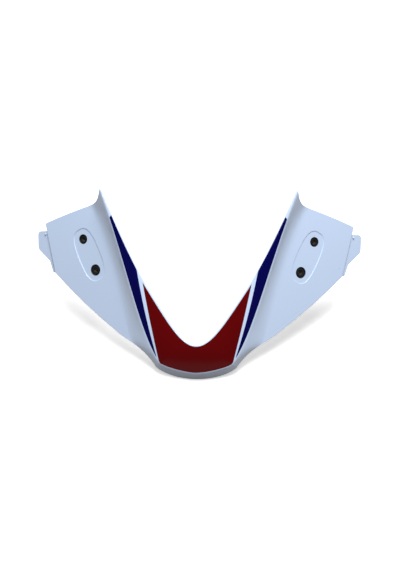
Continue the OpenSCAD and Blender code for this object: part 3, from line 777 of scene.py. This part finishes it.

# Bushes: turned black rubber pressed in from behind, with a collar against the boss and a bore
# for the mirror bolt. A moulded groove runs round the front face inside its rim. The bore turns
# to a pale dusty colour the deeper it goes: painted light that makes up for the light falling off.
BOLT_BORE, BUSH_FIT, COLLAR_W, COLLAR_T, BUSH_SINK = 6.2, 0.1, 2, 1.6, 0.5
# Where the painted light in the bores begins below the front face, and over what depth it grows to
# full
PAINTED_LIGHT_START, PAINTED_LIGHT_DEPTH = 0.9, 6
bushes = []
for level, (high_up, hole) in HOLES.items():
    bore, body, collar = BOLT_BORE / 2, hole / 2 - BUSH_FIT, hole / 2 + COLLAR_W
    front, behind = -SEAT_DEPTH - BUSH_SINK, boss_end - COLLAR_T
    profile = [(bore, behind + 0.6), (bore, front - 7), (bore, front - 3.5), (bore, front - 1.6),
               (bore, front - 0.9), (bore + 0.2, front - 0.45),
               (bore + 0.5, front - 0.3), (body - 1.3, front - 0.3), (body - 1.1, front - 0.5),
               (body - 0.95, front - 1.5), (body - 0.65, front - 1.5), (body - 0.5, front - 0.5),
               (body - 0.3, front - 0.15), (body - 0.1, front - 0.2), (body, front - 0.5),
               (body, boss_end), (collar - 0.4, boss_end),
               (collar - 0.1, boss_end - 0.1), (collar, boss_end - 0.4), (collar, behind + 0.4),
               (collar - 0.1, behind + 0.1), (collar - 0.4, behind), (bore + 0.6, behind),
               (bore + 0.15, behind + 0.15), (bore, behind + 0.6)]
    at = seat_frame @ Matrix.Translation((0, high_up, 0))
    right = turned("bush_right_" + level, profile, at, ring=True)
    deep = right.data.attributes.new("deep", "FLOAT", "POINT")
    for i, v in enumerate(right.data.vertices):
        place = at.inverted() @ v.co
        in_bore = math.hypot(place.x, place.y) < bore + 0.05
        # Share of painted light in the bore: none near its mouth, growing with depth
        depth = max(0, (front - PAINTED_LIGHT_START - place.z) / PAINTED_LIGHT_DEPTH)
        deep.data[i].value = depth if in_bore else 0
    left = other_side(right, "bush_left_" + level)
    bushes += [right, left]
    for piece, side in ((right, "right"), (left, "left")):
        pick(piece)
        bpy.ops.object.shade_smooth_by_angle(angle=math.radians(50))
        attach(piece, "root")
        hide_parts("bush_%s_%s" % (level, side))

# Moulded nitrile rubber: matt black with a faint grey bloom, and a pale dusty colour deep in the
# bores that is painted light. Its grain of an eroded mould is drawn coarser than the real one so
# that it shows.
BLOOM_MM, GRIT_MM = 3.85, 0.556
material, tree = new_material("moulded black nitrile rubber")
where = node(tree, "ShaderNodeTexCoord").outputs["Object"]
bloom = node(tree, "ShaderNodeTexNoise", {"Vector": where}, Scale=spaced(BLOOM_MM), Detail=3)
tone = node(tree, "ShaderNodeMix", {"Factor": bloom.outputs["Fac"]}, data_type="RGBA",
            A=colour("08090B"), B=colour("131416"))
deep = node(tree, "ShaderNodeAttribute", attribute_name="deep")
painted_light_share = node(tree, "ShaderNodeMapRange", {"Value": deep.outputs["Fac"]}, To_Min=0, To_Max=1)
# Painted light: the black turns to a pale dusty colour deeper in the bore, standing in for light
# that falls off there
bore_painted_light = node(tree, "ShaderNodeMix", {"Factor": painted_light_share.outputs["Result"],
             "A": tone.outputs["Result"]}, data_type="RGBA", B=colour("7A7264"))
grit = node(tree, "ShaderNodeTexNoise", {"Vector": where}, Scale=spaced(GRIT_MM), Detail=1)
dull = node(tree, "ShaderNodeMapRange", {"Value": grit.outputs["Fac"]}, To_Min=0.5, To_Max=0.75)
bump = node(tree, "ShaderNodeBump", {"Height": grit.outputs["Fac"]},
            Strength=0.25, Distance=0.0001)
rubber = node(tree, "ShaderNodeBsdfPrincipled", {"Base Color": bore_painted_light.outputs["Result"],
              "Roughness": dull.outputs["Result"], "Normal": bump.outputs["Normal"]},
              IOR=1.52, Specular_IOR_Level=0.25)
node(tree, "ShaderNodeOutputMaterial", {"Surface": rubber.outputs["BSDF"]})
give(bushes, material)

# The studio: a white floor just under the chin that keeps the panel's soft shadow, one broad soft
# lamp overhead, and pale walls that grow dim above the height of the camera's view. What the
# camera sees of floor and walls is paler than what lights the panel.
FLOOR_DROP, FLOOR_SIZE = 0.0005, 4.4
bpy.ops.object.select_all(action="DESELECT")
bpy.ops.mesh.primitive_plane_add(size=FLOOR_SIZE, location=(0, 0, cad_box[0][2] - FLOOR_DROP))
floor = bpy.context.object
floor.name = "floor"


def seen_rays(tree):
    # 1 for what the camera sees, also through glass, and a half for what gloss mirrors
    path = node(tree, "ShaderNodeLightPath")
    glossy = node(tree, "ShaderNodeMath", {0: path.outputs["Is Glossy Ray"]}, operation="MULTIPLY")
    glossy.inputs[1].default_value = 0.5
    seen = node(tree, "ShaderNodeMath",
                {0: path.outputs["Is Camera Ray"], 1: glossy.outputs["Value"]},
                operation="MAXIMUM")
    seen = node(tree, "ShaderNodeMath",
                {0: seen.outputs["Value"], 1: path.outputs["Is Transmission Ray"]},
                operation="MAXIMUM")
    return seen.outputs["Value"]


material, tree = new_material("white studio floor")
seen = seen_rays(tree)
tone = node(tree, "ShaderNodeMix", {"Factor": seen}, data_type="RGBA",
            A=(0.07, 0.056, 0.05, 1), B=(0.95, 0.95, 0.95, 1))
matt = node(tree, "ShaderNodeBsdfDiffuse", {"Color": tone.outputs["Result"]})
glow = node(tree, "ShaderNodeEmission", {"Strength": seen}, Color=(0.5, 0.5, 0.5, 1))
both = node(tree, "ShaderNodeAddShader", {0: matt.outputs["BSDF"], 1: glow.outputs["Emission"]})
node(tree, "ShaderNodeOutputMaterial", {"Surface": both.outputs["Shader"]})
give([floor], material)

world = bpy.data.worlds.new("studio walls")
bpy.context.scene.world = world
world.use_nodes = True
tree = world.node_tree
tree.nodes.clear()
toward = node(tree, "ShaderNodeTexCoord").outputs["Generated"]
parts = node(tree, "ShaderNodeSeparateXYZ", {"Vector": toward})
height = node(tree, "ShaderNodeMapRange", {"Value": parts.outputs["Z"]},
              interpolation_type="SMOOTHSTEP",
              From_Min=0.1, From_Max=0.32, To_Min=0.97, To_Max=0.045)
level = node(tree, "ShaderNodeMapRange",
             {"Value": seen_rays(tree), "To Max": height.outputs["Result"]}, To_Min=0.27)
walls = node(tree, "ShaderNodeBackground", {"Strength": level.outputs["Result"]},
             Color=(1, 1, 1, 1))
node(tree, "ShaderNodeOutputWorld", {"Surface": walls.outputs["Background"]})

LAMP_PLACE, LAMP_AIM, LAMP_SIZE, LAMP_POWER = (0.15, 0, 1.93), (0, 0.03, 0.05), (1.5, 0.8), 52
bpy.ops.object.light_add(type="AREA", location=LAMP_PLACE)
lamp = bpy.context.object
lamp.name = "soft_lamp_over"
lamp.data.shape = "RECTANGLE"
lamp.data.size, lamp.data.size_y = LAMP_SIZE
lamp.data.energy = LAMP_POWER
lamp.rotation_euler = (Vector(LAMP_PLACE) - Vector(LAMP_AIM)).to_track_quat("Z", "Y").to_euler()
